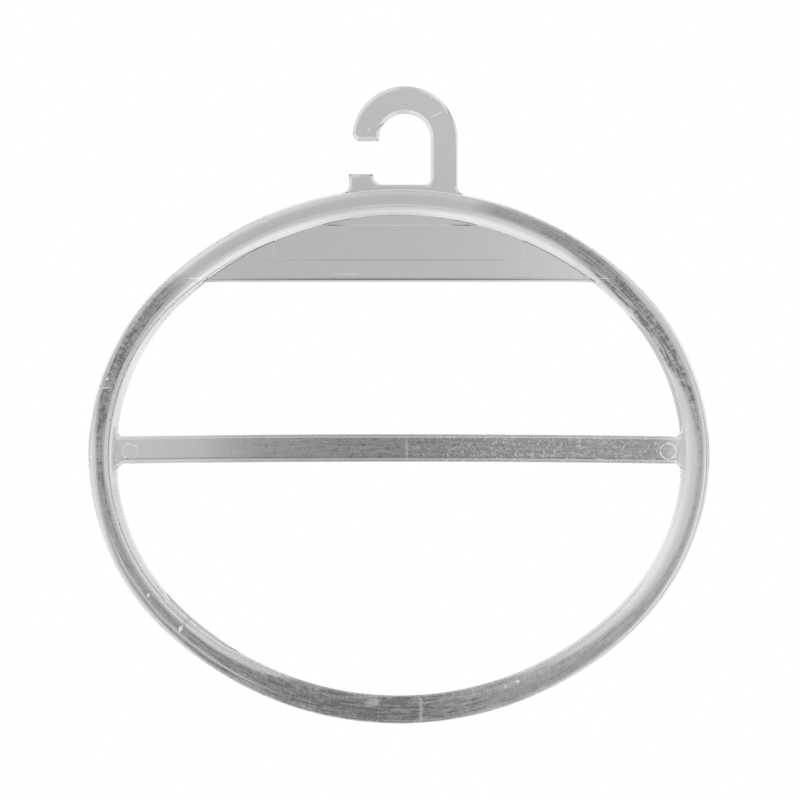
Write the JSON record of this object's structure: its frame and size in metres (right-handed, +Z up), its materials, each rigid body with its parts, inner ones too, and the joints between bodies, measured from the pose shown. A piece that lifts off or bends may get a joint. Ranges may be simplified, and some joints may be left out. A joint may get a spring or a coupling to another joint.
{
  "type": "scarf hanger",
  "caption": "Clear moulded scarf hanger: an oval ring under a flat open hook, with a header plate in its crown and a straight bar across its middle to hang a scarf over.",
  "frame": {"origin": "centre of the hook's eye, on the rail's axis, midway through the thickness", "axes": "+Z up as the hanger hangs, +X to the right seen from the front, -Y out of the front face, which has the label panel and the ejector marks; the rail runs along Y"},
  "size_m": [0.19, 0.006, 0.1948],
  "materials": {
    "clear_polystyrene": "clear, glossy with light scuffs"
  },
  "bodies": {
    "root": {"oval_rim": "clear_polystyrene", "cross_bar": "clear_polystyrene", "header_plate": "clear_polystyrene", "header_lip": "clear_polystyrene", "hanging_hook": "clear_polystyrene", "landing_pad": "clear_polystyrene"}
  },
  "joints": []
}
